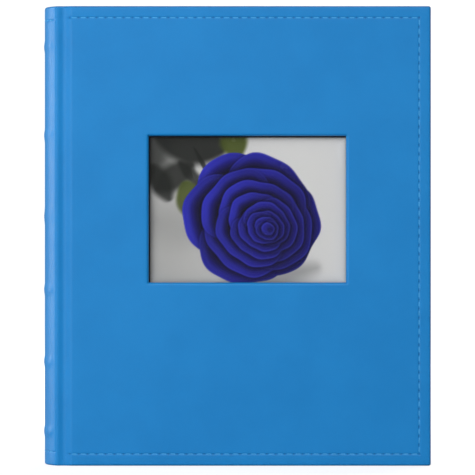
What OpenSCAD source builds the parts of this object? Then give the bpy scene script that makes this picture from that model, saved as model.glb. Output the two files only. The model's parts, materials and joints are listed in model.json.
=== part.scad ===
// Post-bound scrapbook album: padded leather case with a window front, a rounded spine with raised
// bands, and twelve top-loading sleeves held by three screw posts.
// The album stands on its tail edge. The front cover faces -Y and the spine is at -X.

/* [Case] */
// Width of the closed album, spine to fore-edge
album_w = 255.2; // [250:0.2:262]
// Height of the covers and the spine
album_h = 302; // [300:1:308]
// Thickness of the closed album
album_t = 46; // [46:0.5:50]
// Width of each cover, from the joint to the fore-edge
cover_w = 241; // [238:0.5:244]
// Thickness of the leather skin
skin_t = 0.9; // [0.8:0.1:1]
// Thickness of the wadding under the skin
foam_t = 1.2; // [1:0.1:1.5]
// Thickness of the cover board
board_t = 1.8; // [1.6:0.1:2]
// Thickness of the endpapers, turn-ins and window pane
liner_t = 0.4; // [0.3:0.05:0.5]
// Width of the turned-in leather inside each cover
turn_in = 13; // [10:1:15]

/* [Window] */
// Width of the window in the front cover
window_w = 129.6; // [110:0.1:132]
// Height of the window
window_h = 96.35; // [80:0.05:98]
// Distance from the fore-edge to the window
window_right = 55.7; // [50:0.1:60]
// Distance from the tail edge to the window
window_bottom = 120.35; // [100:0.05:125]
// Radius of the rolled leather rim around the window
rim_r = 2; // [1.2:0.1:2]

/* [Photo pocket] */
// Width of the photo print
print_w = 152.4; // [150:0.1:153]
// Height of the photo print
print_h = 101.6; // [100:0.1:102]
// Thickness of the photo print
print_t = 0.3; // [0.2:0.05:0.3]
// Radius of the thumb notch in the pocket's back
thumb_r = 9; // [6:0.5:12]

/* [Stitching] */
// Distance from the cover's edge to the stitch line
stitch_inset = 7.7; // [6:0.05:10]
// Distance from the spine's head and tail to its stitch rows
spine_stitch_inset = 9; // [7:0.1:11]
// Distance between the starts of two stitches
stitch_pitch = 5.85; // [5:0.05:7]
// Length of one stitch
stitch_len = 4.3; // [3.5:0.1:4.8]
// Width of the thread
thread_w = 0.85; // [0.6:0.05:1]

/* [Spine] */
// Outer radius of the rounded spine
spine_r = 31.4; // [30:0.1:34]
// Half of the chord that the spine's arc spans
spine_half = 20.5; // [20:0.1:20.8]
// Heights of the raised bands above the tail edge
band_z = [22, 68, 115.5, 164, 217.5, 276]; // [15:0.5:285]
// Height of one raised band
band_h = 10; // [7:0.5:12]
// How far a band stands out of the spine
band_proud = 0.5; // [0.3:0.05:0.6]

/* [Leaves] */
// Number of leaves
leaf_count = 12; // [8:1:12]
// Width of the letter-size page in each sleeve
page_w = 215.9; // [210:0.1:216]
// Height of the letter-size page
page_h = 279.4; // [270:0.1:280]
// Thickness of a page
page_t = 0.8; // [0.5:0.1:0.8]
// Distance from one leaf to the next
leaf_pitch = 2.6; // [2.6:0.05:3]
// Thickness of one sleeve over its pocket
sleeve_t = 1.6; // [1.5:0.1:1.7]
// Thickness of one sleeve film
film_t = 0.3; // [0.2:0.05:0.3]

/* [Posts] */
// Distance between neighbouring posts
post_pitch = 107.95; // [100:0.05:110]
// Outer diameter of a post's barrel
post_d = 5; // [4.5:0.1:5.2]
// Diameter of a post's head
head_d = 9.5; // [8:0.5:10]
// Thickness of a post's head
head_t = 1; // [0.8:0.1:1.2]

/* [Hidden] */
$fn = 64;
big = 400;                                   // longer than the album, for cutting boxes
half_w = album_w / 2;
half_t = album_t / 2;
cover_t = skin_t + foam_t + board_t + liner_t;
cover_x = half_w - cover_w;                  // the cover's edge beside the joint
edge_r_joint = 3;                            // the cover's rounded edge beside the joint
edge_r = 1.5;                                // its other rounded edges, and its corners
inner_d = skin_t + foam_t + board_t;         // depth of the endpaper below the cover's face

window_x = half_w - window_right - window_w;
pane_margin = 6;                             // how far the pane reaches beyond the window
pane_clear = 0.1;

print_x = window_x + (window_w - print_w) / 2;
print_z = window_bottom + (window_h - print_h) / 2;
print_y = -half_t + cover_t + 0.1;           // 0.1 behind the pane
spacer_t = 0.55;                             // the pocket's U-shaped spacer
spacer_w = 3.5;
print_clear = 0.5;                           // the print's room in the spacer, each side
card_t = 0.5;                                // the pocket's back card

channel_w = 1.1;                             // the groove that the stitches lie in
channel_d = 0.5;
thread_t = 0.45;
stitch_x0 = cover_x + 3.8;                   // the first stitch beside the joint

spine_x = -half_w + band_proud + spine_r;    // the axis of the spine's arc
spine_a = asin(spine_half / spine_r);        // half the angle of the arc
spine_board_t = 2;
spine_board_a = 35;                          // half the angle of the spine board's arc
shoulder_r = 2.5;
shoulder_x = spine_x - (spine_r - shoulder_r) * cos(spine_a);
shoulder_y = (spine_r - shoulder_r) * sin(spine_a);
head_r = 2;                                  // the spine's rounded head and tail
band_slope = 2.5;
spine_stitch_a = 11;                         // angle from one spine stitch to the next

joint_end = cover_x - 0.3;
joint_dip = 0.9;
cloth_t = 0.4;

crease_x = -103;                             // where the leaves fold
strip_x0 = -117.5;                           // the bound edge of the strips and flaps
strip_x1 = crease_x - 0.5;
strip_z0 = 8;
strip_h = album_h - 2 * strip_z0;
strip_t = 0.6;
flap_t = 1.6;
block_t = leaf_count * leaf_pitch;           // the stack of strips and spacers
flap_y = block_t / 2 + flap_t;               // the outer face of a flap

post_x = (strip_x0 + strip_x1) / 2;
post_z = [album_h / 2 - post_pitch, album_h / 2, album_h / 2 + post_pitch];
post_hole_d = post_d + 0.4;
screw_d = 3;
screw_len = 20;
slot_w = 1;
slot_d = 0.5;

leaf_x0 = crease_x + 0.6;
neck_w = 6;                                  // the thin welded edge beside the crease
neck_t = 2 * film_t;
pocket_x0 = leaf_x0 + neck_w;
weld_w = 1;
page_clear = 0.3;
cavity_w = page_w + 2 * page_clear;
cavity_t = sleeve_t - 2 * film_t;
sleeve_w = weld_w + cavity_w + 3;

leather = [0.16, 0.50, 0.78];
thread = [0.22, 0.58, 0.85];
greyboard = [0.55, 0.50, 0.44];
paper = [0.93, 0.92, 0.88];
steel = [0.75, 0.76, 0.78];

function two(i) = i < 10 ? str("0", i) : str(i);
function sleeve_name(i) = str("leaf_", two(i), "_sleeve");
function page_name(i) = str("leaf_", two(i), "_page");
function leaf_y(i) = (i - (leaf_count + 1) / 2) * leaf_pitch;

// A rectangle whose corners (bottom left, bottom right, top right, top left) have radii r.
module plate(w, h, r) {
  module corner(radius) {
    if (radius > 0) difference() {
      translate([-1, -1]) square(radius + 1);
      translate([radius, radius]) circle(radius);
    }
  }
  difference() {
    square([w, h]);
    corner(r[0]);
    translate([w, 0]) mirror([1, 0]) corner(r[1]);
    translate([w, h]) rotate(180) corner(r[2]);
    translate([0, h]) mirror([0, 1]) corner(r[3]);
  }
}

// The front cover's block, shrunk by inset, between two depths below its face.
module cover_block(inset, d0, d1) {
  rj = edge_r_joint - inset;
  re = edge_r - inset;
  w = cover_w - 2 * inset;
  h = album_h - 2 * inset;
  intersection() {
    translate([cover_x + inset, -half_t + inset, inset])
      linear_extrude(h) plate(w, big, [rj, re, 0, 0]);
    translate([cover_x + inset, -half_t + inset, inset])
      rotate([90, 0, 90]) linear_extrude(w) plate(big, h, [re, 0, 0, re]);
    translate([cover_x + inset, -half_t + inset + 50, inset])
      rotate([90, 0, 0]) linear_extrude(50) plate(w, h, [0, re, re, 0]);
    translate([-big / 2, -half_t + d0, -1]) cube([big, d1 - d0, big]);
  }
}

// The window's hole, grown by inset, with its rolled rim.
module window_hole(inset) {
  rim = rim_r - inset;
  module rim_profile() {
    difference() {
      translate([0, -1]) square([rim, rim + 1]);
      translate([rim, rim]) circle(rim);
    }
  }
  translate([window_x - inset, -half_t + inset, window_bottom - inset]) {
    w = window_w + 2 * inset;
    h = window_h + 2 * inset;
    translate([0, -5, 0]) cube([w, 50, h]);
    // the rim's sides, then its corners
    for (m = [0, 1]) {
      translate([m * w, 0, 0]) mirror([1 - m, 0, 0]) linear_extrude(h) rim_profile();
      translate([0, 0, m * h]) mirror([0, 0, 1 - m]) rotate([90, 0, 90]) linear_extrude(w)
        rotate(90) mirror([0, 1]) rim_profile();
      for (n = [0, 1])
        translate([m * w, 0, n * h]) rotate([-90, 0, 0]) rotate_extrude() rim_profile();
    }
  }
}

// A rectangle of the endpaper's outline, at the endpaper's depth.
module inner_panel(clear) {
  translate([cover_x + turn_in + clear, -half_t + inner_d, turn_in + clear])
    cube([cover_w - 2 * (turn_in + clear), liner_t, album_h - 2 * (turn_in + clear)]);
}

// The pane's outline, grown by clear, at the endpaper's depth.
module pane_panel(clear) {
  m = pane_margin + clear;
  translate([window_x - m, -half_t + inner_d, window_bottom - m])
    cube([window_w + 2 * m, liner_t, window_h + 2 * m]);
}

// The U-shaped groove for the cover's stitches.
module stitch_channel() {
  z0 = stitch_inset - channel_w / 2;
  x1 = half_w - z0;
  translate([0, -half_t - 1, 0]) {
    for (z = [z0, album_h - z0 - channel_w])
      translate([stitch_x0 - 1, 0, z]) cube([x1 - stitch_x0 + 1, 1 + channel_d, channel_w]);
    translate([x1 - channel_w, 0, z0]) cube([channel_w, 1 + channel_d, album_h - 2 * z0]);
  }
}

// The stitches of one cover: along the tail, up the fore-edge and back along the head.
module cover_stitches() {
  y = -half_t + channel_d - thread_t;
  row = half_w - stitch_inset - stitch_x0;
  column = album_h - 2 * stitch_inset;
  row_n = floor(row / stitch_pitch);
  column_n = floor(column / stitch_pitch);
  for (z = [stitch_inset, album_h - stitch_inset], i = [0:row_n - 1])
    translate([stitch_x0 + (i + 0.5) * row / row_n - stitch_len / 2, y, z - thread_w / 2])
      cube([stitch_len, thread_t, thread_w]);
  for (i = [0:column_n - 1])
    translate([half_w - stitch_inset - thread_w / 2, y,
               stitch_inset + (i + 0.5) * column / column_n - stitch_len / 2])
      cube([thread_w, thread_t, stitch_len]);
}

// The wadding and board inside the skin, between two depths.
module cover_core(d0, d1, window) {
  difference() {
    cover_block(skin_t, d0, d1);
    if (window) window_hole(skin_t);
  }
}

module cover_skin(window) {
  difference() {
    cover_block(0, 0, cover_t);
    if (window) window_hole(0);
    cover_core(skin_t, inner_d, window);
    inner_panel(0);
    stitch_channel();
  }
}

module front_cover_skin() { color(leather) cover_skin(true); }
module front_cover_foam() { color("whitesmoke") cover_core(skin_t, skin_t + foam_t, true); }
module front_cover_board() { color(greyboard) cover_core(skin_t + foam_t, inner_d, true); }
module front_cover_liner() {
  color(paper) difference() {
    inner_panel(pane_clear);
    pane_panel(pane_clear);
  }
}
module front_stitching() { color(thread) cover_stitches(); }
module window_pane() { color([0.9, 0.95, 1, 0.35]) pane_panel(0); }

// The U-shaped strip that the print stands in, glued behind the pane.
module pocket_spacer() {
  side = print_clear + spacer_w;
  color(paper) translate([print_x, -half_t + cover_t, print_z]) difference() {
    translate([-side, 0, -spacer_w]) cube([print_w + 2 * side, spacer_t, print_h + spacer_w]);
    translate([-print_clear, -1, 0]) cube([print_w + 2 * print_clear, 2, print_h + 1]);
  }
}

module pocket_back_card() {
  side = print_clear + spacer_w;
  color(paper) translate([print_x, -half_t + cover_t + spacer_t, print_z]) difference() {
    translate([-side, 0, -spacer_w]) cube([print_w + 2 * side, card_t, print_h + spacer_w]);
    translate([print_w / 2, -1, print_h]) rotate([-90, 0, 0]) cylinder(r = thumb_r, h = 3);
  }
}

module photo_print() {
  color("midnightblue") translate([print_x, print_y, print_z]) cube([print_w, print_t, print_h]);
}

module back_cover_skin() { color(leather) mirror([0, 1, 0]) cover_skin(false); }
module back_cover_foam() {
  color("whitesmoke") mirror([0, 1, 0]) cover_core(skin_t, skin_t + foam_t, false);
}
module back_cover_board() {
  color(greyboard) mirror([0, 1, 0]) cover_core(skin_t + foam_t, inner_d, false);
}
module back_cover_liner() { color(paper) mirror([0, 1, 0]) inner_panel(pane_clear); }
module back_stitching() { color(thread) mirror([0, 1, 0]) cover_stitches(); }

// The part of a solid of revolution about the spine's axis from angle a0 to a1, counted from the
// spine's middle. The child is its section.
module spine_sector(a0, a1) {
  translate([spine_x, 0, 0]) rotate(180 + a0) rotate_extrude(angle = a1 - a0, $fn = 128) children();
}

// The corners of the raised bands on a surface of radius r, from the tail to the head.
function band_points(r) = [for (z = band_z) each [
  [r, z - band_h / 2], [r + band_proud, z - band_h / 2 + band_slope],
  [r + band_proud, z + band_h / 2 - band_slope], [r, z + band_h / 2]]];

function reversed(v) = [for (i = [len(v) - 1:-1:0]) v[i]];

// The points of an arc about c, from angle a0 to a1.
function arc(c, r, a0, a1, n) = [for (i = [0:n]) let (a = a0 + (a1 - a0) * i / n) c + r * [cos(a), sin(a)]];

// The skin's section: a C that wraps the spine board's head and tail, with a groove for the
// stitches near each end.
module spine_skin_section() {
  inner = spine_r - skin_t;
  lip = inner - spine_board_t;
  far = spine_r - head_r;
  difference() {
    polygon(concat(
      [[lip, 0]], arc([far, head_r], head_r, -90, 0, 5), band_points(spine_r),
      arc([far, album_h - head_r], head_r, 0, 90, 5),
      [[lip, album_h], [lip, album_h - skin_t], [inner, album_h - skin_t]],
      reversed(band_points(inner)), [[inner, skin_t], [lip, skin_t]]));
    for (z = [spine_stitch_inset, album_h - spine_stitch_inset])
      translate([spine_r - channel_d, z - channel_w / 2]) square([2, channel_w]);
  }
}

module spine_skin() { color(leather) spine_sector(-spine_a, spine_a) spine_skin_section(); }

module spine_board() {
  color(greyboard) spine_sector(-spine_board_a, spine_board_a)
    translate([spine_r - skin_t - spine_board_t, skin_t])
      square([spine_board_t, album_h - 2 * skin_t]);
}

// The cords under the leather that make the raised bands.
module spine_bands() {
  points = band_points(spine_r - skin_t);
  color(greyboard) for (i = [0:len(band_z) - 1])
    spine_sector(-spine_a, spine_a) polygon([for (k = [0:3]) points[4 * i + k]]);
}

module spine_stitching() {
  color(thread) for (z = [spine_stitch_inset, album_h - spine_stitch_inset], i = [-3:3])
    translate([spine_x, 0, z]) rotate(i * spine_stitch_a)
      translate([-spine_r + channel_d - thread_t, -stitch_len / 2, -thread_w / 2])
        cube([thread_t - 0.12, stitch_len, thread_w]);
}

// The leather from the spine's arc round the shoulder and through the groove to a cover.
module joint_strip() {
  c = [shoulder_x, -shoulder_y];
  top = c - [0, shoulder_r];
  n = 12;
  dip = [for (i = [1:n])
    top + [(joint_end - shoulder_x) * i / n, joint_dip * sin(180 * i / n)]];
  outer = concat(arc(c, shoulder_r, 180 + spine_a, 270, 6), dip);
  inner = concat(arc(c, shoulder_r - skin_t, 180 + spine_a, 270, 6),
                 [for (p = dip) p + [0, skin_t]]);
  linear_extrude(album_h) polygon(concat(outer, reversed(inner)));
}
module front_joint_strip() { color(leather) joint_strip(); }
module back_joint_strip() { color(leather) mirror([0, 1, 0]) joint_strip(); }

// The cloth inside the joint, from the cover round the binding flap's edge.
module inner_hinge() {
  x0 = strip_x0 - cloth_t;
  y0 = -half_t + cover_t;
  color("lightsteelblue") translate([0, 0, strip_z0]) linear_extrude(strip_h) {
    translate([x0, y0]) square([joint_end - x0, cloth_t]);
    translate([x0, y0]) square([cloth_t, flap_t + (-flap_y - y0)]);
  }
}
module front_inner_hinge() { inner_hinge(); }
module back_inner_hinge() { mirror([0, 1, 0]) inner_hinge(); }

// A stack of strips drilled for the posts: each entry of ys is a strip's [start, thickness].
module drilled_strips(ys) {
  difference() {
    for (y = ys) translate([strip_x0, y[0], strip_z0])
      cube([strip_x1 - strip_x0, y[1], strip_h]);
    for (z = post_z) translate([post_x, -half_t, z]) rotate([-90, 0, 0])
      cylinder(d = post_hole_d, h = album_t);
  }
}
module front_binding_flap() { color(paper) drilled_strips([[-flap_y, flap_t]]); }
module back_binding_flap() { color(paper) drilled_strips([[block_t / 2, flap_t]]); }
module leaf_binding_strips() {
  color("azure") drilled_strips([for (i = [1:leaf_count]) [leaf_y(i) - strip_t / 2, strip_t]]);
}
module leaf_spacers() {
  full = leaf_pitch - strip_t;
  color(paper) drilled_strips(concat(
    [[-block_t / 2, full / 2], [block_t / 2 - full / 2, full / 2]],
    [for (i = [1:leaf_count - 1]) [leaf_y(i) + strip_t / 2, full]]));
}

module post_barrels() {
  color(steel) for (z = post_z) translate([post_x, 0, z]) rotate([-90, 0, 0]) difference() {
    union() {
      translate([0, 0, -flap_y + 0.3]) cylinder(d = post_d, h = 2 * flap_y - 0.3);
      translate([0, 0, flap_y]) cylinder(d = head_d, h = head_t);
    }
    translate([0, 0, -flap_y - 1]) cylinder(d = screw_d + 0.1, h = screw_len + 2);
  }
}

module post_screws() {
  color(steel) for (z = post_z) translate([post_x, 0, z]) rotate([-90, 0, 0]) difference() {
    union() {
      translate([0, 0, -flap_y]) cylinder(d = screw_d, h = screw_len);
      translate([0, 0, -flap_y - head_t]) cylinder(d = head_d, h = head_t);
    }
    translate([-head_d, -slot_w / 2, -flap_y - head_t - 1]) cube([2 * head_d, slot_w, 1 + slot_d]);
  }
}

// A sleeve: two films welded beside the crease, down the fore-edge and along the tail.
module leaf_sleeve(i) {
  color([0.85, 0.92, 0.97, 0.5]) translate([0, leaf_y(i), strip_z0]) {
    translate([leaf_x0, -neck_t / 2, 0]) cube([neck_w + weld_w / 2, neck_t, strip_h]);
    difference() {
      translate([pocket_x0, -sleeve_t / 2, 0]) cube([sleeve_w, sleeve_t, strip_h]);
      translate([pocket_x0 + weld_w, -cavity_t / 2, 3]) cube([cavity_w, cavity_t, strip_h]);
    }
  }
}

module leaf_page(i) {
  color(paper) translate([pocket_x0 + weld_w + page_clear, leaf_y(i) - page_t / 2, strip_z0 + 3.2])
    cube([page_w, page_t, page_h]);
}

front_cover_skin();
front_cover_foam();
front_cover_board();
front_cover_liner();
front_stitching();
window_pane();
pocket_spacer();
pocket_back_card();
photo_print();
back_cover_skin();
back_cover_foam();
back_cover_board();
back_cover_liner();
back_stitching();
spine_skin();
spine_board();
spine_bands();
spine_stitching();
front_joint_strip();
back_joint_strip();
front_inner_hinge();
back_inner_hinge();
front_binding_flap();
back_binding_flap();
leaf_binding_strips();
leaf_spacers();
post_barrels();
post_screws();
for (i = [1:leaf_count]) {
  leaf_sleeve(i);
  leaf_page(i);
}
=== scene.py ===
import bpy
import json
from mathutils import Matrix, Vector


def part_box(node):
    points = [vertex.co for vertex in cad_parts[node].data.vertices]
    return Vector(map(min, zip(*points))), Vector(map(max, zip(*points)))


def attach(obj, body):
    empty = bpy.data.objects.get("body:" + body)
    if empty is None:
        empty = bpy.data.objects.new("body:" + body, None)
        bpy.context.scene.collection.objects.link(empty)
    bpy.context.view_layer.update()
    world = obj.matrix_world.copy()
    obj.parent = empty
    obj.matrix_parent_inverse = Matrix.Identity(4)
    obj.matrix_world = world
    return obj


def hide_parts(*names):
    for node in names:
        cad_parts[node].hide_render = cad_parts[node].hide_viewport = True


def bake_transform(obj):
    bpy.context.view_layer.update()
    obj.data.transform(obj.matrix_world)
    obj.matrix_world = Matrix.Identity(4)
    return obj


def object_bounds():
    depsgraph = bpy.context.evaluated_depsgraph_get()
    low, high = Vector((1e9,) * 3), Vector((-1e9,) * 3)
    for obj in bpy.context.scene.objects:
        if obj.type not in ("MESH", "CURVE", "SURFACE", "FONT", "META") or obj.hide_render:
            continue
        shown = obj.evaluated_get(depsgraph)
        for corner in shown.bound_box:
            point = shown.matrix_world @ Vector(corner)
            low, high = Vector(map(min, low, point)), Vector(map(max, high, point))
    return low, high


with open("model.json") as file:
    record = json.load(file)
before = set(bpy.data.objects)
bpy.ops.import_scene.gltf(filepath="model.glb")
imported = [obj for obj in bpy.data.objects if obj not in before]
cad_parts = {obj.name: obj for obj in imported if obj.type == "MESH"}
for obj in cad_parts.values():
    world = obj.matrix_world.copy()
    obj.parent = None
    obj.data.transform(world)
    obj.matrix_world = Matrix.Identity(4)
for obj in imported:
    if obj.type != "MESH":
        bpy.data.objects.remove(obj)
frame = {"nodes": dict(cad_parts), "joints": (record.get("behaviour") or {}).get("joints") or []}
cad_box = [list(map(float, corner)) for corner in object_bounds()]

import json
import math

import bmesh
import bpy
import numpy as np
from mathutils import Vector

# ---- Studio ----
# A white table under a white sky, a soft light on the left of the front, a high one before it, a thin
# one beside the spine, a weak one behind, and a long lens level with the middle of the cover.
MM = 0.001


def box_of(node):
    """A CAD node's lowest and highest corners."""
    return [np.array(corner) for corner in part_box(node)]


cover_lo, cover_hi = box_of("front_cover_skin")
face_y = cover_lo[1]
album_height = cover_hi[2]
fore_edge = cover_hi[0]

camera_distance = 2.4
seen_width = 311.9 * MM
camera = bpy.data.objects.new("camera", bpy.data.cameras.new("camera"))
camera.data.sensor_width = 36.0
camera.data.lens = camera.data.sensor_width * camera_distance / seen_width
camera.data.clip_end = 20.0
camera.location = (0.6 * MM, face_y - camera_distance, album_height / 2 - 1.05 * MM)
camera.rotation_euler = (math.pi / 2, 0.0, 0.0)
bpy.context.collection.objects.link(camera)
bpy.context.scene.camera = camera
bpy.context.scene.view_settings.view_transform = "Standard"


class Field:
    """A shader socket that takes part in sums, so that node maths reads as an expression."""

    def __init__(self, tree, socket=None):
        self.tree, self.socket = tree, socket

    def node(self, kind, settings=None, values=None, output=0):
        """Adds a node, sets its settings, then its sockets' values or links, and wraps one output."""
        made = self.tree.nodes.new(kind)
        for key, value in (settings or {}).items():
            if key == "stops":
                ramp = made.color_ramp.elements
                while len(ramp) < len(value):
                    ramp.new(0.5)
                for stop, (place, colour) in zip(ramp, value):
                    stop.position, stop.color = place, (*colour, 1.0)
            else:
                setattr(made, key, value)
        for key, value in (values or {}).items():
            if isinstance(value, Field):
                self.tree.links.new(made.inputs[key], value.socket)
            else:
                made.inputs[key].default_value = value
        return Field(self.tree, made.outputs[output])

    def maths(self, operation, *terms):
        return self.node("ShaderNodeMath", {"operation": operation}, dict(enumerate(terms)))

    def __add__(self, other):
        return self.maths("ADD", self, other)

    def __sub__(self, other):
        return self.maths("SUBTRACT", self, other)

    def __rsub__(self, other):
        return self.maths("SUBTRACT", other, self)

    def __mul__(self, other):
        return self.maths("MULTIPLY", self, other)

    def __truediv__(self, other):
        return self.maths("DIVIDE", self, other)

    def __pow__(self, other):
        return self.maths("POWER", self, other)

    __radd__, __rmul__ = __add__, __mul__

    def near(self, middle, width):
        """1 where the field equals middle, falling smoothly to 0 about a width away."""
        away = (self - middle) / width
        return self.maths("EXPONENT", away * away * -1.0)

    def fraction(self):
        return self.maths("FRACT", self)

    def sine(self):
        return self.maths("SINE", self)

    def capped(self):
        return self.maths("MINIMUM", self, 1.0)

    def rise(self, low, high):
        """0 below low and 1 above high, with a smooth step between them."""
        return self.node("ShaderNodeMapRange", {"interpolation_type": "SMOOTHSTEP"},
                         {"Value": self, "From Min": low, "From Max": high})

    def mix(self, first, second):
        """The colour first where the field is 0 and second where it is 1."""
        colours = [c if isinstance(c, Field) else (*c, 1.0) for c in (first, second)]
        return self.node("ShaderNodeMix", {"data_type": "RGBA"},
                         {0: self, 6: colours[0], 7: colours[1]}, 2)

    def noise(self, scale, detail=2.0, roughness=0.5):
        return self.node("ShaderNodeTexNoise", {},
                         {"Vector": self, "Scale": scale, "Detail": detail, "Roughness": roughness})

    def axes(self):
        """The three numbers of a place."""
        return [self.node("ShaderNodeSeparateXYZ", {}, {0: self}, i) for i in range(3)]

    def stretch(self, x, y, z):
        return self.node("ShaderNodeMapping", {}, {"Vector": self, "Scale": (x, y, z)})

    def bump(self, height, distance, strength=1.0):
        return self.node("ShaderNodeBump", {},
                         {"Height": height, "Distance": distance, "Strength": strength})


def new_material(name, **constants):
    """A material, its Principled shader with constants set on it, and its object coordinates."""
    material = bpy.data.materials.new(name)
    material.use_nodes = True
    shader = material.node_tree.nodes["Principled BSDF"]
    for key, value in constants.items():
        shader.inputs[key.replace("_", " ")].default_value = value
    place = Field(material.node_tree).node("ShaderNodeTexCoord", {}, {}, "Object")
    return material, shader, place


def drive(shader, **fields):
    """Links fields to a shader's sockets."""
    for key, field in fields.items():
        field.tree.links.new(shader.inputs[key.replace("_", " ")], field.socket)


def quads_of(index):
    """The quads between neighbouring numbers of a grid, or of a stack of grids."""
    return np.stack([index[..., :-1, :-1], index[..., :-1, 1:],
                     index[..., 1:, 1:], index[..., 1:, :-1]], -1)


def grid_mesh(name, points, keep=None, flip=False, material=None):
    """A surface from an array of places (rows, columns, 3): neighbours are joined into quads, except
    where keep is False, doubled places are merged, and the whole is shaded smooth."""
    rows, columns = points.shape[:2]
    quads = quads_of(np.arange(rows * columns).reshape(rows, columns))
    quads = quads[keep] if keep is not None else quads.reshape(-1, 4)
    if flip:
        quads = quads[:, ::-1]
    return mesh_object(name, points.reshape(-1, 3), quads, material)


def mesh_object(name, places, quads, material=None):
    """An object from places and quads, without doubled or loose vertices."""
    mesh = bpy.data.meshes.new(name)
    mesh.from_pydata(places.tolist(), [], quads if isinstance(quads, list) else quads.tolist())
    work = bmesh.new()
    work.from_mesh(mesh)
    bmesh.ops.remove_doubles(work, verts=work.verts, dist=2e-6)
    bmesh.ops.delete(work, geom=[v for v in work.verts if not v.link_faces], context="VERTS")
    work.to_mesh(mesh)
    work.free()
    mesh.polygons.foreach_set("use_smooth", np.ones(len(mesh.polygons), bool))
    made = bpy.data.objects.new(name, mesh)
    bpy.context.collection.objects.link(made)
    if material:
        mesh.materials.append(material)
    return made


def area_light(name, place, width, height, power, gleams=True):
    """A soft rectangular light that faces the album's middle, seen in glossy surfaces or not."""
    lamp = bpy.data.lights.new(name, "AREA")
    lamp.shape, lamp.size, lamp.size_y, lamp.energy = "RECTANGLE", width, height, power
    made = bpy.data.objects.new(name, lamp)
    made.location = place
    made.rotation_euler = (middle - made.location).to_track_quat("-Z", "Y").to_euler()
    made.visible_glossy = gleams
    bpy.context.collection.objects.link(made)


middle = Vector((0.0, 0.0, album_height / 2))
area_light("left_light", (-1.25, -1.15, 0.15), 1.0, 1.4, 17.5, gleams=False)
area_light("left_gleam", (-1.25, -1.15, 0.35), 1.0, 1.4, 4.0)
area_light("face_gleam", (-0.8, -1.9, 0.15), 0.5, 1.6, 9.0)
area_light("high_light", (0.2, -2.4, 1.9), 1.8, 1.2, 30.0)
area_light("spine_light", (-1.2, 0.42, 0.15), 0.22, 1.2, 9.0)
area_light("rear_light", (0.7, 1.9, 1.3), 1.4, 1.2, 24.0)

world = bpy.data.worlds.new("white_studio")
world.use_nodes = True
bpy.context.scene.world = world
sky = Field(world.node_tree)
seen_directly = sky.node("ShaderNodeLightPath", {}, {}, "Is Camera Ray")
world.node_tree.links.new(world.node_tree.nodes["Background"].inputs["Strength"],
                          (seen_directly * 0.85 + 0.2).socket)
world.node_tree.nodes["Background"].inputs["Color"].default_value = (1.0, 1.0, 1.0, 1.0)

table_material, table_shader, place = new_material(
    "white_table", Base_Color=(0.3, 0.3, 0.3, 1.0), Roughness=0.9, Emission_Strength=1.0)
# Painted light: seen by the camera the table glows, at 0.79 within 0.1 m of the middle and at full
# white from 0.6 m out; to other rays it glows at 0.1.
far_off = place.node("ShaderNodeVectorMath", {"operation": "LENGTH"}, {0: place}, "Value")
far_off = far_off.rise(0.1, 0.6)
table_light = place.node("ShaderNodeLightPath", {}, {}, "Is Camera Ray")
drive(table_shader, Emission_Color=table_light.mix(
    (0.1, 0.1, 0.1), far_off.mix((0.79, 0.79, 0.79), (1.0, 1.0, 1.0))))
reach = np.linspace(-3.5, 3.5, 15)
table = np.zeros((len(reach), len(reach), 3))
table[..., 0], table[..., 1] = reach[None, :], reach[:, None]
grid_mesh("white_table", table, material=table_material)

# ---- Leather case ----
# One sheet of blue grained leather is drawn over the boards and the wadding, pressed into the joint
# grooves and over the spine's cords, and turned in along the head, the tail and the fore-edges. It is
# made as a front and a back half that meet on the middle of the spine.
band_proud = 0.5 * MM
spine_radius = 31.4 * MM
spine_axis = cad_box[0][0] + band_proud + spine_radius
spine_half = 20.5 * MM
spine_angle = math.asin(spine_half / spine_radius)
shoulder_radius = 2.5 * MM
arc_lines = 31
spine_thickness, shoulder_thickness, groove_thickness = 2.9 * MM, 2.0 * MM, 1.5 * MM
shoulder_x = spine_axis - (spine_radius - shoulder_radius) * math.cos(spine_angle)
shoulder_y = -(spine_radius - shoulder_radius) * math.sin(spine_angle)
hinge_x = [j for j in frame["joints"] if j["name"] == "front_cover_hinge"][0]["pos_m"][0]
groove_x = hinge_x + 1.7 * MM
groove_depth = 2.1 * MM
padded_edge_x = hinge_x + 8.2 * MM
band_heights = np.array([22, 68, 115.5, 164, 217.5, 276]) * MM
band_half_height = 5.0 * MM
band_end, band_fade = math.radians(39), math.radians(9)
cover_thickness = cover_hi[1] - cover_lo[1]
edge_radius = 1.5 * MM
stitch_inset = 7.7 * MM
spine_stitch_inset = 9.0 * MM
channel_depth = 0.28 * MM
channel_half_width = 0.6 * MM
channel_step, face_step = 0.22 * MM, 4.5 * MM
pane_lo, pane_hi = box_of("window_pane")
pane_margin = 6.0 * MM
window_lo = (pane_lo[0] + pane_margin, pane_lo[2] + pane_margin)
window_hi = (pane_hi[0] - pane_margin, pane_hi[2] - pane_margin)
rim_radius = 2.0 * MM
rim_reach = 5.0 * MM
rim_depth = pane_lo[1] - face_y
stitch_x0 = cover_lo[0] + 3.8 * MM
stitch_pitch = 5.85 * MM
stitch_length = 4.3 * MM


def graded(start, stop, step, fine=()):
    """Places from start to stop about a step apart, closer near each (place, reach, step) of fine."""
    dense = np.linspace(start, stop, 4000)
    size = np.full_like(dense, step)
    for place, reach, small in fine:
        away = np.clip((np.abs(dense - place) - reach) / (6 * MM), 0, 1)
        size = np.minimum(size, small + (step - small) * away)
    count = np.concatenate([[0], np.cumsum(np.diff(dense) / (0.5 * (size[1:] + size[:-1])))])
    return np.interp(np.linspace(0, count[-1], max(2, int(np.ceil(count[-1])) + 1)), count, dense)


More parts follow.
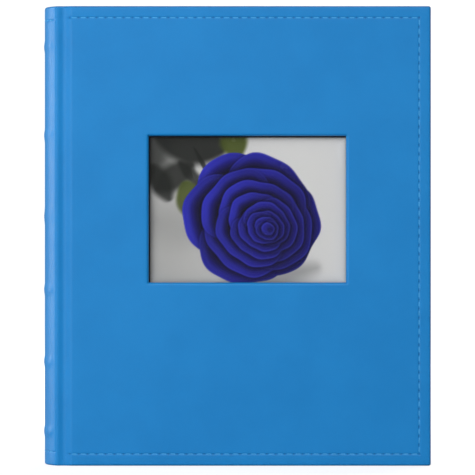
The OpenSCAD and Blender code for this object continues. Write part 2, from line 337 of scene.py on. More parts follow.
def edge_wrap():
    """How far out, and how far down, leather lies as it rounds a cover's edge: a quarter circle, the
    edge itself, and a small quarter circle back under the board."""
    turn = np.radians(np.linspace(0, 90, 8))[1:]
    small = 0.5 * MM
    out = np.concatenate([edge_radius * np.sin(turn), np.full(3, edge_radius),
                          edge_radius - small * (1 - np.cos(turn[1::2]))])
    down = np.concatenate([edge_radius * (1 - np.cos(turn)),
                           np.linspace(edge_radius, cover_thickness - small, 4)[1:],
                           cover_thickness - small + small * np.sin(turn[1::2])])
    return out, down


def rim_wrap():
    """How far out of the window, and how far down, leather lies on the way up its wall, over the
    rolled rim, and out on to the flat face."""
    turn = np.radians(np.linspace(0, 90, 9))
    wall = np.linspace(rim_depth, rim_radius, 4)[:-1]
    flat = np.linspace(rim_radius, rim_reach, 5)[1:]
    out = np.concatenate([np.zeros(3), rim_radius * (1 - np.cos(turn)), flat])
    down = np.concatenate([wall, rim_radius * (1 - np.sin(turn)), np.zeros(4)])
    return out, down


def case_section():
    """The case's outline across the front half, from the spine's middle to the end of the groove:
    the spine's arc, the shoulder's arc, a cosine dip and a padded rise. It gives each point's place,
    outward normal and the case's thickness there."""
    arc = spine_angle * np.linspace(0, 1, arc_lines - 1) ** 0.9
    arc = np.insert(arc, 1, arc[1] / 20)
    shoulder = np.linspace(spine_angle, math.pi / 2, 9)[1:]
    turn = np.concatenate([arc, shoulder])
    normal = np.stack([-np.cos(turn), -np.sin(turn)], 1)
    place = np.concatenate([
        np.array([spine_axis, 0.0]) + spine_radius * normal[:len(arc)],
        np.array([shoulder_x, shoulder_y]) + shoulder_radius * normal[len(arc):]])
    shoulder_low = place[-1, 1] - face_y
    fall = np.linspace(0, 1, 9)[1:]
    rise = np.linspace(0, 1, 22)[1:]
    x = np.concatenate([shoulder_x + (groove_x - shoulder_x) * fall,
                        groove_x + (padded_edge_x - groove_x) * rise])
    low = np.concatenate([
        shoulder_low + (groove_depth - shoulder_low) * (0.5 - 0.5 * np.cos(math.pi * fall)),
        groove_depth * (0.5 + 0.5 * np.cos(math.pi * rise))])
    groove = np.stack([x, face_y + low], 1)
    slope = np.gradient(groove[:, 1], groove[:, 0])
    groove_normal = np.stack([slope, -np.ones(len(slope))], 1)
    groove_normal /= np.linalg.norm(groove_normal, axis=1)[:, None]
    spine_thick = np.full(len(turn), spine_thickness)
    groove_thick = np.interp(x, [shoulder_x, groove_x, padded_edge_x],
                             [shoulder_thickness, groove_thickness, cover_thickness])
    return (np.concatenate([place, groove]), np.concatenate([normal, groove_normal]),
            np.concatenate([spine_thick, groove_thick]))


def stitch_row_distance(x, z):
    """How far a place on the cover is from the U of the stitch line, with its rounded corners."""
    right = fore_edge - stitch_inset
    top, bottom = album_height - stitch_inset, stitch_inset
    return np.minimum(np.abs(x - right), np.minimum(np.abs(z - top), np.abs(z - bottom)))


def leather_half(name, window):
    """One half of the case. Lines across it follow the section and then the flat cover to the edge
    wrap, and lines up it run from the tail's wrap to the head's. In a corner, a place whose two line
    numbers are i and j lies on ring max(i, j), at an angle given by their ratio."""
    section, normal, thick = case_section()
    wrap_out, wrap_down = edge_wrap()
    rim_out, rim_down = rim_wrap()
    wraps, rims = len(wrap_out), len(rim_out)
    corner_x = fore_edge - edge_radius
    fine_x = [(fore_edge - stitch_inset, 1.0 * MM, channel_step)]
    fine_z = [(z, 1.0 * MM, channel_step) for inset in (stitch_inset, spine_stitch_inset)
              for z in (inset, album_height - inset)]
    fine_z += [(z, band_half_height, 0.9 * MM) for z in band_heights]

    def lines(start, stop, lo, hi, fine):
        """Line places, and each line's rim number: 0 inside the window and rims - 1 clear of it."""
        if not window:
            made = graded(start, stop, face_step, fine)
            return made, np.full(len(made), rims - 1)
        before = graded(start, lo - rim_reach, face_step, fine)[:-1]
        inside = np.linspace(lo, hi, 24)[1:-1]
        after = graded(hi + rim_reach, stop, face_step, fine)[1:]
        ring = np.arange(rims)
        number = np.concatenate([np.full(len(before), rims - 1), ring[::-1],
                                 np.zeros(len(inside), int), ring, np.full(len(after), rims - 1)])
        return np.concatenate([before, lo - rim_out[::-1], inside, hi + rim_out, after]), number

    face_x, rim_x = lines(padded_edge_x, corner_x, window_lo[0], window_hi[0], fine_x)
    face_x, rim_x = face_x[1:], rim_x[1:]
    face_z, rim_z = lines(edge_radius, album_height - edge_radius, window_lo[1], window_hi[1], fine_z)

    # Across: section lines, face lines, fore-edge wrap lines. Up: tail wrap, face, head wrap.
    n_section, n_face = len(section), len(face_x)

    def across(on_section, beyond):
        """A value for each line across: on_section's own, and then one number for the flat cover."""
        return np.concatenate([on_section, np.full(n_face + wraps, float(beyond))])

    x = np.concatenate([section[:, 0], face_x, np.full(wraps, corner_x)])
    y = across(section[:, 1], face_y)
    nx, ny = across(normal[:, 0], 0), across(normal[:, 1], -1)
    share = across(thick / cover_thickness, 1)
    wrap_x = np.concatenate([np.zeros(n_section + n_face, int), np.arange(1, wraps + 1)])
    rim_x = np.concatenate([np.full(n_section, rims - 1), rim_x, np.full(wraps, rims - 1)])
    z = np.concatenate([np.full(wraps, edge_radius), face_z,
                        np.full(wraps, album_height - edge_radius)])
    wrap_z = np.concatenate([np.arange(wraps, 0, -1), np.zeros(len(face_z), int),
                             np.arange(1, wraps + 1)])
    side_z = np.concatenate([-np.ones(wraps), np.zeros(len(face_z)), np.ones(wraps)])
    rim_z = np.concatenate([np.full(wraps, rims - 1), rim_z, np.full(wraps, rims - 1)])

    X, Z = np.meshgrid(x, z, indexing="ij")
    Y = np.broadcast_to(y[:, None], X.shape).copy()
    i, j = np.meshgrid(wrap_x, wrap_z, indexing="ij")
    ring = np.maximum(i, j)
    turn = np.where(i >= j, math.pi / 4 * j / np.maximum(i, 1),
                    math.pi / 2 - math.pi / 4 * i / np.maximum(j, 1))
    out = np.concatenate([[0.0], wrap_out])[ring]
    down = np.concatenate([[0.0], wrap_down])[ring]
    X = X + out * np.cos(turn) * (i > 0)
    Z = Z + out * np.sin(turn) * side_z[None, :] * (j > 0)

    if window:
        a, b = np.meshgrid(rim_x, rim_z, indexing="ij")
        rim = np.maximum(a, b)
        corner = (a > 0) & (b > 0) & (a < rims - 1) & (b < rims - 1)
        angle = np.where(a >= b, math.pi / 4 * b / np.maximum(a, 1),
                         math.pi / 2 - math.pi / 4 * a / np.maximum(b, 1))
        square = np.clip((rim - (rims - 4)) / 3.0, 0, 1)
        side_x = np.where(x < window_lo[0] + 0.5 * (window_hi[0] - window_lo[0]), -1, 1)[:, None]
        side_y = np.where(z < window_lo[1] + 0.5 * (window_hi[1] - window_lo[1]), -1, 1)[None, :]
        edge_x = np.where(side_x < 0, window_lo[0], window_hi[0])
        edge_z = np.where(side_y < 0, window_lo[1], window_hi[1])
        round_x = edge_x + side_x * rim_out[rim] * np.cos(angle)
        round_z = edge_z + side_y * rim_out[rim] * np.sin(angle)
        X = np.where(corner, square * X + (1 - square) * round_x, X)
        Z = np.where(corner, square * Z + (1 - square) * round_z, Z)
        down = down + rim_down[rim]

    # The stitch channel, the bands, and a soft fall towards the edges outside the stitches.
    on_cover = x[:, None] > stitch_x0 - 1.5 * MM
    away = stitch_row_distance(X, Z) / channel_half_width
    inside_u = (X < fore_edge - stitch_inset + 1 * MM) & (Z > stitch_inset - 1 * MM)
    inside_u &= Z < album_height - stitch_inset + 1 * MM
    channel = channel_depth * np.exp(-away ** 4) * on_cover * inside_u
    around = np.arctan2(-section[:, 1], spine_axis - section[:, 0])
    fade = np.clip((band_end - around) / band_fade, 0, 1) * (np.arange(n_section) < arc_lines)
    fade = across(fade * fade * (3 - 2 * fade), 0)[:, None]
    band = np.zeros_like(Z)
    for height in band_heights:
        reach = np.clip(1 - np.abs(Z - height) / band_half_height, 0, 1)
        band += band_proud * np.sin(reach * math.pi / 2) ** 2
    spine_channel = sum(np.exp(-((Z - row) / channel_half_width) ** 4)
                        for row in (spine_stitch_inset, album_height - spine_stitch_inset))
    on_spine = across(np.arange(n_section) < arc_lines + 2, 0)[:, None]
    low = down * share[:, None] + channel + channel_depth * spine_channel * on_spine - band * fade
    places = np.stack([X - nx[:, None] * low, Y - ny[:, None] * low, Z], -1)
    keep = None
    if window:
        hole = rim == 0
        keep = ~(hole[:-1, :-1] & hole[1:, :-1] & hole[:-1, 1:] & hole[1:, 1:])
    if not window:
        places[..., 1] *= -1
    return grid_mesh(name, places, keep, flip=window, material=leather)


def leather_pebbles(place):
    """The distance to the nearest crease of a grain about 0.7 mm across."""
    return place.node("ShaderNodeTexVoronoi", {"feature": "DISTANCE_TO_EDGE"},
                      {"Vector": place, "Scale": 1500.0}, "Distance")


leather, leather_shader, place = new_material("blue_leather", Specular_IOR_Level=0.36)
across_x, _, up_z = place.axes()
right_column = fore_edge - stitch_inset
row_length = right_column - stitch_x0
row_pitch = row_length / int(row_length / stitch_pitch)
column_length = album_height - 2 * stitch_inset
column_pitch = column_length / int(column_length / stitch_pitch)
row_place = (across_x - stitch_x0) / row_pitch
column_place = (up_z - stitch_inset) / column_pitch
between_rows = (row_place + 0.5).fraction() - 0.5
between_columns = (column_place + 0.5).fraction() - 0.5
hole_size = 0.55 * MM
row_holes = ((between_rows * row_pitch).near(0.0, hole_size)
             * (up_z.near(stitch_inset, hole_size) + up_z.near(album_height - stitch_inset, hole_size))
             * across_x.rise(stitch_x0 - 2 * MM, stitch_x0 - 1 * MM)
             * (1 - across_x.rise(right_column + 1 * MM, right_column + 2 * MM)))
column_holes = ((between_columns * column_pitch).near(0.0, hole_size)
                * across_x.near(right_column, hole_size)
                * up_z.rise(stitch_inset - 2 * MM, stitch_inset - 1 * MM)
                * (1 - up_z.rise(album_height - stitch_inset + 1 * MM,
                                 album_height - stitch_inset + 2 * MM)))
holes = row_holes + column_holes
pebbles = leather_pebbles(place)
grain = pebbles.rise(0.0, 0.25) * 0.6 + place.noise(2600.0, 3.0) * 0.4
mottle = place.noise(28.0, 4.0, 0.55)
tone = mottle.rise(0.3, 0.7).mix((0.002, 0.222, 0.590), (0.004, 0.240, 0.625))
tone = (pebbles.rise(0.0, 0.12) * 0.3 + 0.7).mix((0.002, 0.180, 0.510), tone)
# Painted shade: the leather is darkened in the stitch holes.
tone = (holes.capped() * 0.75).mix(tone, (0.001, 0.105, 0.340))
# Painted shade: the leather is darkened within 0.9 mm of the head and the tail and 0.7 mm of the
# fore-edge, where its rounded edges turn away from the light.
painted_edge_shade = (up_z.rise(album_height - 0.9 * MM, album_height - 0.2 * MM)
               + (1 - up_z.rise(0.2 * MM, 0.9 * MM))
               + across_x.rise(fore_edge - 0.7 * MM, fore_edge - 0.1 * MM))
tone = (painted_edge_shade.capped() * 0.55).mix(tone, (0.002, 0.120, 0.360))
drive(leather_shader, Base_Color=tone,
      Roughness=0.32 + 0.1 * place.noise(60.0, 3.0) + 0.1 * (1 - grain),
      Normal=place.bump(grain - holes, 0.06 * MM, 0.55))

front_leather = leather_half("front_case_leather", True)
back_leather = leather_half("back_case_leather", False)
for half, cover, nodes in (
        (front_leather, "front_cover", ("front_cover_skin", "front_joint_strip", "spine_skin")),
        (back_leather, "back_cover", ("back_cover_skin", "back_joint_strip"))):
    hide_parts(*nodes)
    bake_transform(half)

# ---- Turned-in leather ----
# Inside each cover the same leather is glued down round the board, 13 mm wide, mitred at the corners
# and pared thin. It is one frame of four strips, a shade duller where the glue has flattened it.
turn_in_width = 13.0 * MM
turn_in_start = 0.4 * MM
skin_pared = 0.35 * MM


def turn_in(name, side):
    """A frame round the inside of a cover: around it run the four sides, and across it the leather
    goes from the cover's edge to its pared inner edge, which dips by the leather's thickness. Each
    corner has a shallow crease along its mitre."""
    inner_y = cover_hi[1]
    across = np.concatenate([np.linspace(0, 0.9, 10), [0.95, 0.98, 1.0, 1.0]])
    dip = np.concatenate([np.zeros(10), [0.06, 0.3, 0.75, 1.0]]) * skin_pared
    inset = turn_in_start + (turn_in_width - turn_in_start) * across
    along = np.linspace(0, 1, 41)
    corners = np.array([[0, 0], [1, 0], [1, 1], [0, 1], [0, 0]], float)
    path = np.concatenate([corners[i] + (corners[i + 1] - corners[i]) * along[:-1, None]
                           for i in range(4)] + [corners[:1]])
    width, height = fore_edge - cover_lo[0], album_height
    x = cover_lo[0] + inset + (width - 2 * inset) * path[:, :1]
    z = inset + (height - 2 * inset) * path[:, 1:]
    to_corner = np.abs(np.abs(np.linspace(0, 4, 161)[:, None] % 1 - 0.5) - 0.5)
    crease = 0.15 * MM * np.exp(-(to_corner * 200 * MM / (0.6 * MM)) ** 2)
    y = inner_y - dip + 0.02 * MM - crease + 0 * x
    points = np.stack([x, y * side, z], -1)
    return grid_mesh(name, points, flip=side > 0, material=pasted_leather)


pasted_leather, pasted_shader, place = new_material("pasted_leather", Specular_IOR_Level=0.35)
pasted_grain = leather_pebbles(place).rise(0.0, 0.3)
drive(pasted_shader, Base_Color=place.noise(40.0, 4.0).rise(0.3, 0.7).mix(
          (0.005, 0.150, 0.420), (0.008, 0.180, 0.470)),
      Roughness=0.5 + 0.15 * place.noise(90.0, 3.0),
      Normal=place.bump(pasted_grain * 0.5 + place.noise(300.0, 3.0), 0.08 * MM, 0.5))
both_covers = ((1, "front"), (-1, "back"))
for side, cover in both_covers:
    strip = turn_in(cover + "_turned_in_leather", side)
    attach(strip, cover + "_cover")

# ---- Stitching ----
# Waxed thread, a shade lighter than the leather, runs in a shallow groove along the head, the
# fore-edge and the tail of each cover and on round the spine. Each stitch dives into its two holes.
thread_half_width = 0.47 * MM
thread_half_height = 0.24 * MM
thread_dive = 0.55 * MM
stitch_depth = 0.24 * MM
spine_stitch_depth = 0.08 * MM
spine_stitch_step = math.radians(11.0)
spine_stitch_turns = np.arange(-3, 4)


def stitches(name, middles, along, outward, material):
    """One short thread for each middle place: its centre line is a bow, flat in the middle, whose ends
    dive by the fourth power of the way along, and round it runs an ellipse that narrows at the ends."""
    way = np.linspace(-1, 1, 8)
    turn = np.linspace(0, 2 * math.pi, 8)
    up = np.cross(along, outward)
    narrow = np.sqrt(np.clip(1 - np.abs(way) ** 5, 0, 1))
    line = (middles[:, None, :] + along[:, None, :] * (stitch_length / 2 * way)[None, :, None]
            - outward[:, None, :] * (thread_dive * way ** 4)[None, :, None])
    ring = (up[:, None, None, :] * (thread_half_width * np.cos(turn))[None, None, :, None]
            + outward[:, None, None, :] * (thread_half_height * np.sin(turn))[None, None, :, None])
    points = line[:, :, None, :] + ring * narrow[None, :, None, None]
    quads = quads_of(np.arange(points[..., 0].size).reshape(points.shape[:3]))
    return mesh_object(name, points.reshape(-1, 3), quads.reshape(-1, 4), material)


def cover_stitches(side):
    """Middles, directions and outward directions of a cover's stitches: tail, head and fore-edge."""
    row = stitch_x0 + row_pitch * (np.arange(round(row_length / row_pitch)) + 0.5)
    column = stitch_inset + column_pitch * (np.arange(round(column_length / column_pitch)) + 0.5)
    y = (face_y + stitch_depth) * side
    middles = np.concatenate([
        np.stack([row, np.full(len(row), y), np.full(len(row), z)], 1)
        for z in (stitch_inset, album_height - stitch_inset)]
        + [np.stack([np.full(len(column), right_column), np.full(len(column), y), column], 1)])
    along = np.repeat([[1.0, 0, 0], [0, 0, 1.0]], [2 * len(row), len(column)], axis=0)
    return middles, along, np.tile([0.0, -side, 0.0], (len(middles), 1))


thread, thread_shader, place = new_material("waxed_thread", Specular_IOR_Level=0.35)
thread_x, thread_y, thread_z = place.axes()
twist = ((thread_x + thread_y + thread_z) * (2 * math.pi / (0.75 * MM))).sine() * 0.5 + 0.5
drive(thread_shader, Base_Color=(twist * 0.5 + place.noise(150.0) * 0.5).mix(
          (0.045, 0.330, 0.690), (0.080, 0.410, 0.790)),
      Roughness=0.5 + 0.2 * place.noise(400.0), Normal=place.bump(twist, 0.08 * MM, 0.7))
for side, cover in both_covers:
    sewn = stitches(cover + "_stitches", *cover_stitches(side), thread)
    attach(sewn, cover + "_cover")
    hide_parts(cover + "_stitching")
angle = np.tile(spine_stitch_turns * spine_stitch_step, 2)
height = np.repeat([spine_stitch_inset, album_height - spine_stitch_inset], len(spine_stitch_turns))
outward = np.stack([-np.cos(angle), np.sin(angle), 0 * angle], 1)
spine_middles = np.array([spine_axis, 0.0, 0.0]) + outward * (spine_radius - spine_stitch_depth)
spine_middles[:, 2] = height
spine_thread = stitches("spine_stitches", spine_middles,
                        np.stack([np.sin(angle), np.cos(angle), 0 * angle], 1), outward, thread)
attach(spine_thread, "binding")
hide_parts("spine_stitching")

# ---- Wadding ----
# A sheet of white batting, 1.2 mm thick, lies between the leather and each board and gives the cover
# its soft face. It is cut a little inside the leather, and round the window in the front cover.
wadding_radius = 0.6 * MM
joint_bevel = 3.2 * MM


def wadding(name, node, hole, side):
    """A soft slab: on a grid of places, its half thickness is a quarter circle of the distance to its
    nearest cut edge, and full farther in, with slow waves. Top and bottom meet along the edges."""
    lo, hi = box_of(node)
    lo[0] += joint_bevel
    near = wadding_radius * np.array([0.0, 0.04, 0.15, 0.35, 0.65, 1.0])

    def lines(start, stop, cut):
        marks = [start, *cut, stop]
        made = []
        for first, last in zip(marks[:-1], marks[1:]):
            steps = max(2, int((last - first) / (7 * MM)))
            made += [first + near, np.linspace(first + near[-1], last - near[-1], steps)[1:-1],
                     last - near[::-1]]
        return np.unique(np.round(np.concatenate(made), 9))

    grow = 0.9 * MM
    cut = np.array([[window_lo[0] - grow, window_hi[0] + grow],
                    [window_lo[1] - grow, window_hi[1] + grow]])
    x = lines(lo[0], hi[0], cut[0] if hole else [])
    z = lines(lo[2], hi[2], cut[1] if hole else [])
    X, Z = np.meshgrid(x, z, indexing="ij")
    edge = np.minimum(np.minimum(X - lo[0], hi[0] - X), np.minimum(Z - lo[2], hi[2] - Z))
    keep = np.ones((len(x) - 1, len(z) - 1), bool)
    if hole:
        out_x = np.maximum(cut[0, 0] - X, X - cut[0, 1])
        out_z = np.maximum(cut[1, 0] - Z, Z - cut[1, 1])
        edge = np.minimum(edge, np.maximum(out_x, out_z))
        middle_x, middle_z = 0.5 * (x[1:] + x[:-1])[:, None], 0.5 * (z[1:] + z[:-1])[None, :]
        keep = ~((middle_x > cut[0, 0]) & (middle_x < cut[0, 1])
                 & (middle_z > cut[1, 0]) & (middle_z < cut[1, 1]))
    share = np.clip(edge / wadding_radius, 0, 1)
    half = 0.5 * (hi[1] - lo[1]) * np.sqrt(1 - (1 - share) ** 2)
    half *= 0.965 + 0.035 * np.sin(X / (9 * MM)) * np.sin(Z / (11 * MM) + 1.0)
    middle_y = 0.5 * (lo[1] + hi[1])
    quads = quads_of(np.arange(X.size).reshape(X.shape))[keep][:, (0, 3, 2, 1)]
    front = np.stack([X, middle_y - half, Z], -1).reshape(-1, 3)
    rear = np.stack([X, middle_y + half, Z], -1).reshape(-1, 3)
    made = mesh_object(name, np.concatenate([front, rear]),
                       np.concatenate([quads, quads[:, ::-1] + X.size]), batting)
    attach(made, side + "_cover")
    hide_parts(node)


batting, batting_shader, place = new_material("white_batting", Specular_IOR_Level=0.2)
fibres = place.stretch(1.0, 1.0, 0.25).noise(900.0, 4.0, 0.7)
drive(batting_shader, Base_Color=fibres.mix((0.70, 0.69, 0.66), (0.86, 0.85, 0.83)),
      Roughness=0.85 + 0.15 * fibres, Normal=place.bump(fibres, 0.3 * MM, 0.8))
wadding("front_wadding", "front_cover_foam", True, "front")
wadding("back_wadding", "back_cover_foam", False, "back")

# ---- Boards, cords and endpapers ----
# The stiff parts are grey bookbinder's board, and the spine's bands are rolled card cords. Each cover
# is lined with a cream laid endpaper that meets the turned-in leather.


def finish_nodes(material, *nodes):
    """Gives a material to CAD nodes."""
    for node in nodes:
        slots = frame["nodes"][node].data.materials
        slots.clear()
        slots.append(material)


def paper_material(name, dark, light, scale, rough, depth):
    """A fibrous board or paper: cloudy tone, fine flecks and a felted surface."""
    material, shader, place = new_material(name, Specular_IOR_Level=0.25)
    cloud, fleck = place.noise(scale, 3.0), place.noise(scale * 22, 3.0, 0.65)
    tone = (cloud * 0.5 + fleck * 0.5).rise(0.3, 0.7)
    drive(shader, Base_Color=tone.mix(dark, light), Roughness=rough + 0.12 * fleck,
          Normal=place.bump(fleck + 0.3 * cloud, depth, 0.5))
    return material


greyboard = paper_material("greyboard", (0.20, 0.18, 0.155), (0.33, 0.30, 0.26), 60.0, 0.8, 0.12 * MM)
finish_nodes(greyboard, "front_cover_board", "back_cover_board", "spine_board", "spine_bands")
endpaper, endpaper_shader, place = new_material("laid_endpaper", Specular_IOR_Level=0.25)
laid_x, _, laid_z = place.axes()
laid = (laid_z * (2 * math.pi / (1.1 * MM))).sine() * 0.5 + 0.5
chain = (laid_x / (25 * MM)).fraction().near(0.5, 0.012)
mould = place.noise(35.0, 4.0)
drive(endpaper_shader,
      Base_Color=(0.55 * mould + 0.25 * laid + 0.2 * place.noise(1200.0)).rise(0.25, 0.75).mix(
          (0.715, 0.665, 0.56), (0.80, 0.76, 0.66)),
      Roughness=0.78 + 0.1 * mould, Normal=place.bump(laid * 0.5 + chain, 0.06 * MM, 0.5))
finish_nodes(endpaper, "front_cover_liner", "back_cover_liner")

# ---- Window pane ----
# A sheet of clear film, glued to the back of the front board, covers the window.
clear_film, clear_shader, place = new_material(
    "clear_film", Base_Color=(0.02, 0.02, 0.02, 1.0), Alpha=0.1, Specular_IOR_Level=0.4)
drive(clear_shader, Roughness=0.12 + 0.1 * place.noise(14.0, 3.0),
      Normal=place.bump(place.noise(9.0, 2.0), 0.2 * MM, 0.15))
finish_nodes(clear_film, "window_pane")

# ---- Photo print ----
# A 6 x 4 in glossy print of a blue rose on a pale table, with blurred leaves behind it. Near the
# window's edge it is darkened with painted shade, and outside a rectangle there it is near black, which
# shows as a thin dark line. It stands in the pocket. Its picture is worked out here, as a colour for
# each place on it.
print_lo, print_hi = box_of("photo_print")
print_step = 0.5 * MM


def smooth(value):
    """A smooth step from 0 to 1."""
    value = np.clip(value, 0, 1)
    return value * value * (3 - 2 * value)


def leaf_shape(x, z, middle, length, width, lean, blur):
    """1 inside a leaf and 0 outside it: its half width is a half sine of the way along it, raised to
    0.8, and blur is how soft its edge is, as a share of its half width."""
    turn = math.radians(lean)
    along = ((x - middle[0]) * math.cos(turn) + (z - middle[1]) * math.sin(turn)) / length
    away = (-(x - middle[0]) * math.sin(turn) + (z - middle[1]) * math.cos(turn)) / width
    reach = np.cos(np.clip(along, -0.5, 0.5) * math.pi) ** 0.8
    return smooth((reach - 2 * np.abs(away)) / blur + 0.5) * smooth((0.5 - np.abs(along)) * 12)


def rose_picture(x, z):
    """The print's colours at places given in mm: a grey table, soft leaves, then the rose's petals
    painted from the outermost ring inwards, and last painted shade along the window's edge. A petal is
    a fan about the ring's middle with a wavy rim, dark where the next ring lies on it and light along
    its curled rim."""
    light = smooth((x + 0.4 * z + 25) / 150)[:, None]
    paint = (1 - light) * np.array([0.79, 0.79, 0.78]) + light * np.array([1.0, 1.0, 0.995])
    black, olive, gloom = (0.15, 0.16, 0.15), (0.34, 0.39, 0.17), (0.045, 0.03, 0.14)

    def over(mask, colour):
        paint[:] = paint * (1 - mask[:, None]) + np.asarray(colour) * mask[:, None]

    # Dark leaves, two olive ones, and the rose's soft shadows on the table, all in mm and degrees.
    for spot, length, width, lean, blur, colour, strength in (
            ((-56, 206), 46, 26, 80, 1.2, black, 0.75), ((-30, 213), 52, 30, -12, 0.5, black, 0.92),
            ((-41, 190), 34, 17, 35, 0.8, black, 0.85), ((-50, 186), 30, 14, -62, 0.9, black, 0.85),
            ((-29, 190), 30, 8, -48, 0.9, black, 0.8), ((-22, 198), 30, 3.0, -62, 0.9, black, 0.8),
            ((-2, 213), 24, 18, -72, 0.5, olive, 0.95), ((-30, 174), 30, 19, -72, 0.4, olive, 0.9)):
        over(strength * leaf_shape(x, z, spot, length, width, lean, blur), colour)
    over(0.45 * leaf_shape(x, z, (20, 122), 80, 16, 14, 1.6), (0.42, 0.42, 0.43))
    over(0.22 * leaf_shape(x, z, (-40, 158), 50, 26, -10, 1.8), (0.46, 0.46, 0.46))

    # The rings shrink and move from the rose's outer middle to its inner one.
    outer, inner = np.array([8.5, 162.0]), np.array([21.5, 155.0])
    deep, blue, pale = (np.array(colour) for colour in (
        (0.07, 0.05, 0.22), (0.20, 0.19, 0.80), (0.31, 0.36, 0.98)))
    full_radius = 44.0
    sizes = (1.0, 0.83, 0.66, 0.51, 0.38, 0.27, 0.18, 0.10)
    counts = (5, 4, 3, 3, 2, 2, 2, 2)
    within = np.zeros(len(x))
    for ring, (size, petals) in enumerate(zip(sizes, counts)):
        middle = outer + (inner - outer) * (1 - size) ** 0.8
        dx, dz = x - middle[0], z - middle[1]
        radius, bearing = np.hypot(dx, dz), np.arctan2(dz, dx)
        shadow = np.zeros(len(x))
        painted = []
        for petal in range(petals):
            mean = 2.05 + 2.1 * ring + 2 * math.pi * petal / petals
            mean += 0.25 * math.sin(3 * ring + 5 * petal)
            away = (bearing - mean + math.pi) % (2 * math.pi) - math.pi
            spread = math.pi / petals * (1.7 + 0.2 * math.sin(7 * petal + ring))
            fan = np.clip(1 - np.abs(away / spread) ** 2.6, 0, 1) ** 0.5
            wave = 1 + 0.03 * np.sin(4 * bearing + 1.7 * ring + 2 * petal)
            wave += 0.012 * np.sin(11 * bearing + petal)
            tip = 1 + 0.04 * size * np.exp(-((away - 0.15) / 0.22) ** 2) * ((ring + petal) % 3 == 0)
            lean = 1 + 0.05 * np.cos(2 * (bearing - 2.6)) * (1.4 - size) + 0.035 * np.cos(bearing)
            rim = full_radius * size * wave * tip * lean * (0.5 + 0.5 * fan)
            mask = smooth((rim - radius) / 0.6 + 0.5) * (np.abs(away) < spread)
            painted.append((mask, rim, away / spread))
            gap = np.clip(radius - rim, 0, 99)
            shadow = np.maximum(shadow, np.exp(-gap / (3.4 * size + 0.7))
                                * (np.abs(away) < spread * 1.1))
        over(0.62 * shadow * within, gloom)
        for mask, rim, share in painted:
            depth = (rim - radius) / full_radius
            shade = smooth(1.06 - depth / (0.14 + 0.16 * size))
            turned = (0.80 + 0.20 * np.cos(bearing - 2.9)) * (0.68 + 0.32 * min(1.0, 1.7 * size))
            fold = 0.84 + 0.16 * np.cos(share * 3.4 - 0.9)
            body = (shade * turned * fold)[:, None]
            colour = deep * (1 - body) + blue * body
            curl = 0.42 * np.exp(-((depth - 0.012) / 0.011) ** 2) * (0.5 + 0.5 * fold)
            curl += 0.34 * np.exp(-((depth - 0.07) / 0.05) ** 2) * turned ** 2
            curl = curl[:, None]
            over(0.30 * np.exp(-np.clip(radius - rim, 0, 99) / 1.3) * within * (1 - mask)
                 * (np.abs(share) < 1), gloom)
            over(mask, colour * (1 - curl) + pale * curl)
            within = np.maximum(within, mask)

    # Painted shade from the window's rim: the picture darkens towards a rectangle close to the window's
    # edge, and outside it the print is near black, which shows as a thin dark line inside the window's
    # left and top edges.
    left, right = window_lo[0] / MM + 0.9, window_hi[0] / MM + 1.0
    low, top = window_lo[1] / MM - 1.0, window_hi[1] / MM - 0.9
    edge = np.minimum(np.minimum(x - left, right - x), np.minimum(z - low, top - z))
    paint *= (1 - 0.32 * np.exp(-np.clip(edge, 0, 99) / 1.6))[:, None]
    over(smooth(0.5 - edge / 0.4), (0.05, 0.05, 0.07))
    return np.clip(paint, 0, 1) ** 2.2


def photo_print():
    """A closed flat slab: a loop of places, fine along the front and coarse along the back, is carried
    up the print's height, and each end is closed with one flat face."""
    x = np.linspace(print_lo[0], print_hi[0], int((print_hi[0] - print_lo[0]) / print_step) + 1)
    z = np.linspace(print_lo[2], print_hi[2], int((print_hi[2] - print_lo[2]) / print_step) + 1)
    loop_x = np.concatenate([x, [print_hi[0], print_lo[0]]])
    loop_y = np.concatenate([np.full(len(x), print_lo[1]), [print_hi[1]] * 2])
    points = np.stack(np.broadcast_arrays(loop_x[:, None], loop_y[:, None], z[None, :]), -1)
    around, up = points.shape[:2]
    index = np.arange(around * up).reshape(around, up)
    after = np.roll(index, -1, axis=0)
    quads = np.stack([index[:, :-1], after[:, :-1], after[:, 1:], index[:, 1:]], -1).reshape(-1, 4)
    ends = [index[::-1, 0].tolist(), index[:, -1].tolist()]
    made = mesh_object("photo_of_a_rose", points.reshape(-1, 3), quads.tolist() + ends, glossy_print)
    mesh = made.data
    mesh.polygons.foreach_set("use_smooth", np.zeros(len(mesh.polygons), bool))
    place = np.zeros(3 * len(mesh.vertices))
    mesh.vertices.foreach_get("co", place)
    place = place.reshape(-1, 3)
    colour = np.ones((len(place), 4))
    colour[:, :3] = rose_picture(place[:, 0] / MM, place[:, 2] / MM)
    colour[place[:, 1] > print_lo[1] + 0.1 * MM, :3] = 0.82
    mesh.color_attributes.new("picture", "FLOAT_COLOR", "POINT").data.foreach_set(
        "color", colour.astype(np.float32).ravel())
    return made


glossy_print, print_shader, place = new_material("glossy_print", Specular_IOR_Level=0.45)
picture = place.node("ShaderNodeAttribute", {"attribute_name": "picture"}, {}, "Color")
drive(print_shader, Base_Color=picture, Roughness=0.22 + 0.08 * place.noise(50.0, 3.0),
      Normal=place.bump(place.noise(1500.0), 0.01 * MM, 0.3))
rose_print = photo_print()
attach(rose_print, "photo")
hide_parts("photo_print")

# ---- Photo pocket ----
# A U of card and a backing card with a thumb notch, glued to the inside of the front cover.
pocket_card = paper_material("pocket_card", (0.65, 0.61, 0.52), (0.74, 0.70, 0.61), 45.0, 0.7,
                             0.06 * MM)
finish_nodes(pocket_card, "pocket_spacer", "pocket_back_card")

# ---- Joint cloths ----
# A strip of blue book cloth lines each joint: it is glued to the binding flap's outer edge, crosses
# the joint and is glued over the turned-in leather, so that the cover can swing on it.
flap_lo, flap_hi = box_of("front_binding_flap")
hinge_lo = box_of("front_inner_hinge")[0]
cloth_half = 0.14 * MM
cloth_grip = 9.5 * MM


